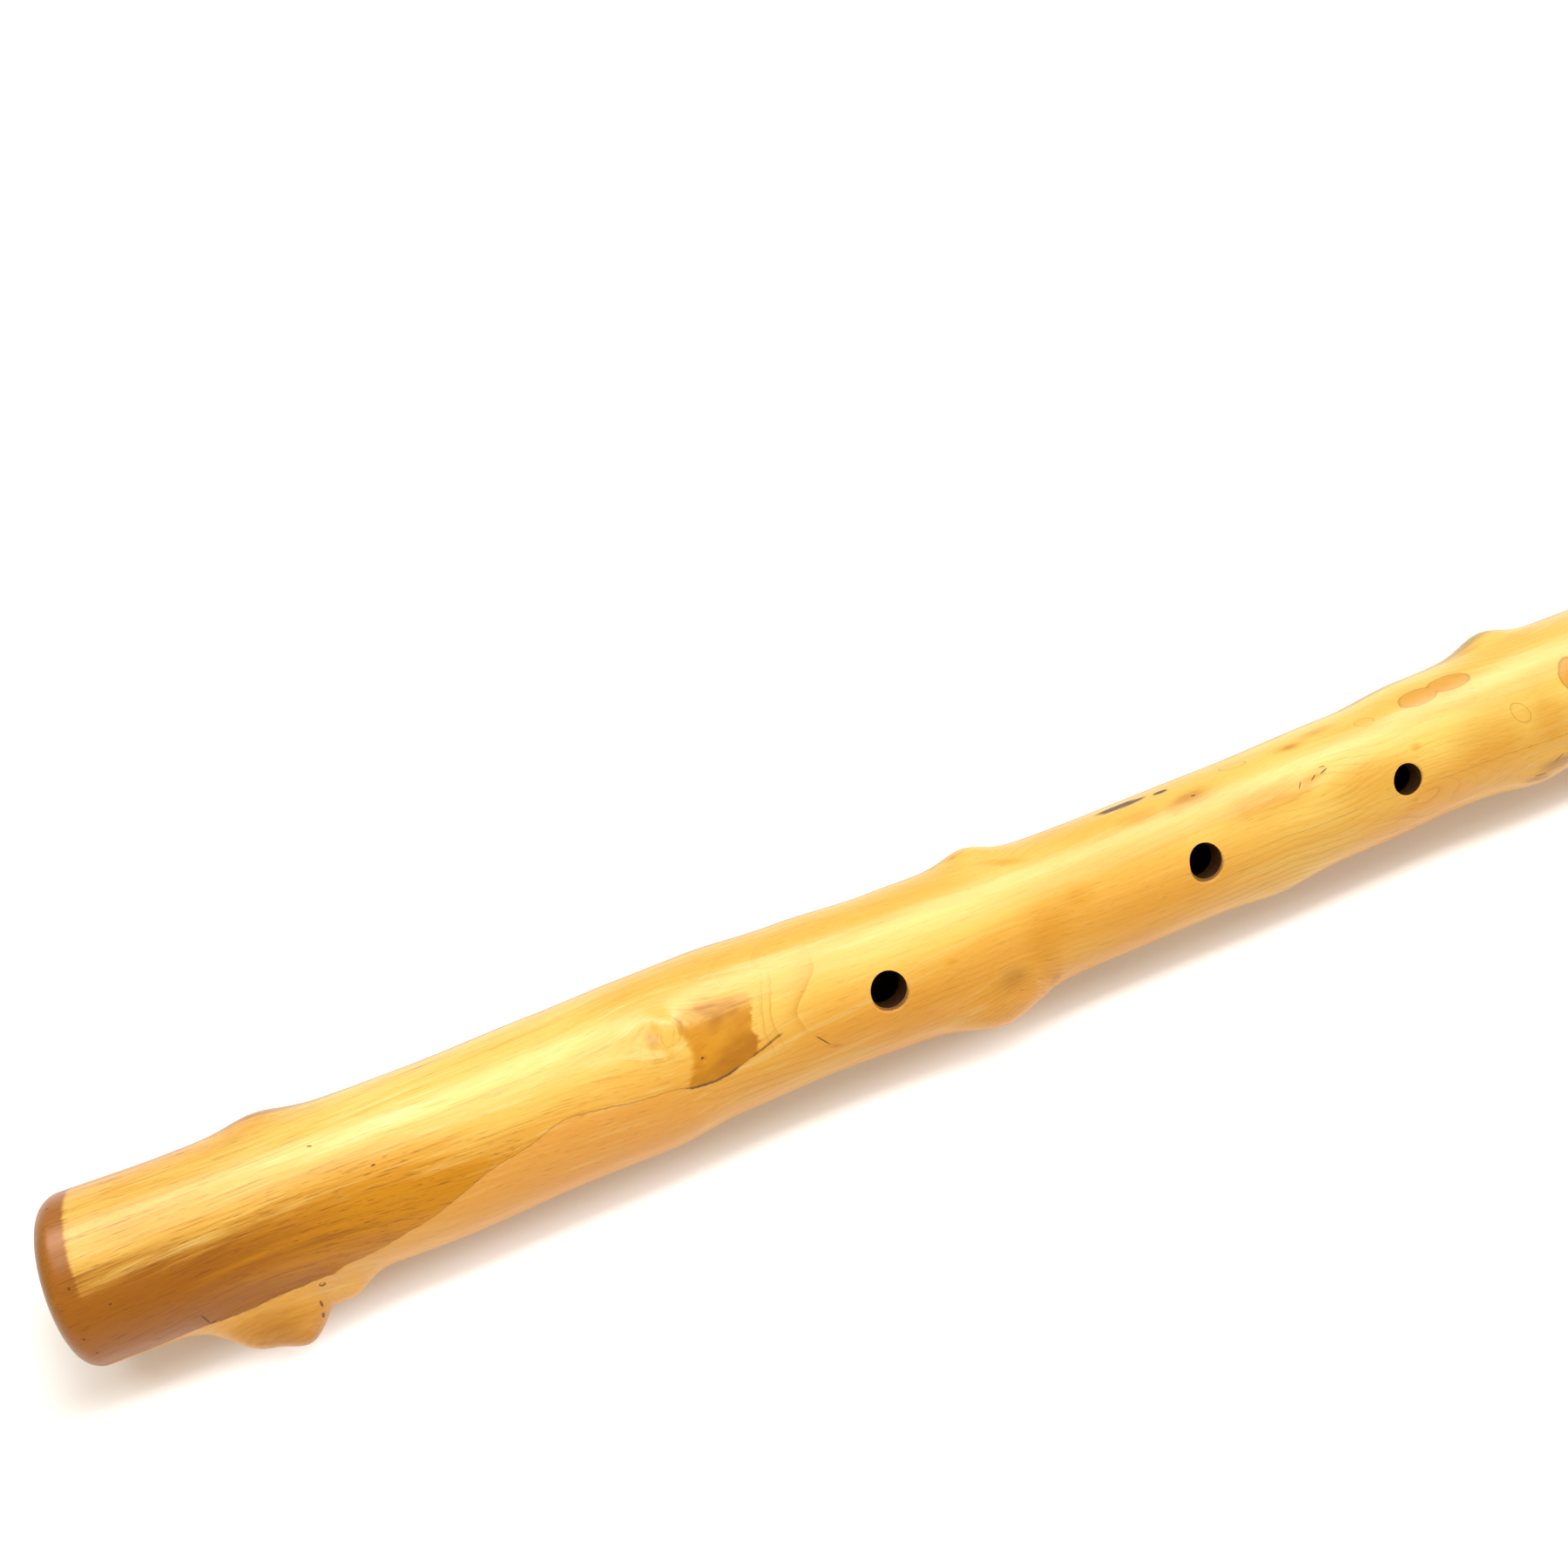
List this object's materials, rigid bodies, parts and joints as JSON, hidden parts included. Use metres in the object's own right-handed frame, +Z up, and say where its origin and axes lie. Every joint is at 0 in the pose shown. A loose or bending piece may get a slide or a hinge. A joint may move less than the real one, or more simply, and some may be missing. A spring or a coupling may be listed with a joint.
{
  "type": "fujara",
  "caption": "Long overtone flute of natural branch wood with finger holes, a windowed head and a strapped-on air duct that carries a pull-out mouthpiece.",
  "frame": {"origin": "centre of the main bore in the foot face", "axes": "+X along the main bore from the foot to the head, +Z up with the flute lying on a table, so that the finger holes face up and towards -Y and the air duct lies on the +Y side"},
  "size_m": [1.708, 0.1578, 0.0646],
  "materials": {
    "pipe_wood": "satin oil over smoothed branch wood",
    "duct_wood": "satin oil over smoothed branch wood",
    "block_wood": "planed and oiled",
    "turned_wood": "turned and oiled",
    "strap_leather": "vegetable tanned, waxed",
    "tack_brass": "bright"
  },
  "bodies": {
    "flute": {"main_pipe": "pipe_wood", "fipple_block": "block_wood", "head_plug": "turned_wood", "duct_pipe": "duct_wood", "duct_top_plug": "turned_wood", "bridge_block": "block_wood", "wind_tube": "block_wood", "lower_saddle": "block_wood", "upper_strap": "strap_leather", "lower_strap": "strap_leather", "upper_tacks": "tack_brass", "lower_tacks": "tack_brass"},
    "mouthpiece": {"mouthpiece": "turned_wood"},
    "drain_plug": {"drain_plug": "turned_wood"}
  },
  "joints": [
    {"name": "mouthpiece_pull", "type": "slide", "parent": "flute", "child": "mouthpiece", "axis": [0, 1, 0], "range_m": [0, 0.015]},
    {"name": "drain_plug_pull", "type": "slide", "parent": "flute", "child": "drain_plug", "axis": [-1, 0, 0], "range_m": [0, 0.03]}
  ]
}
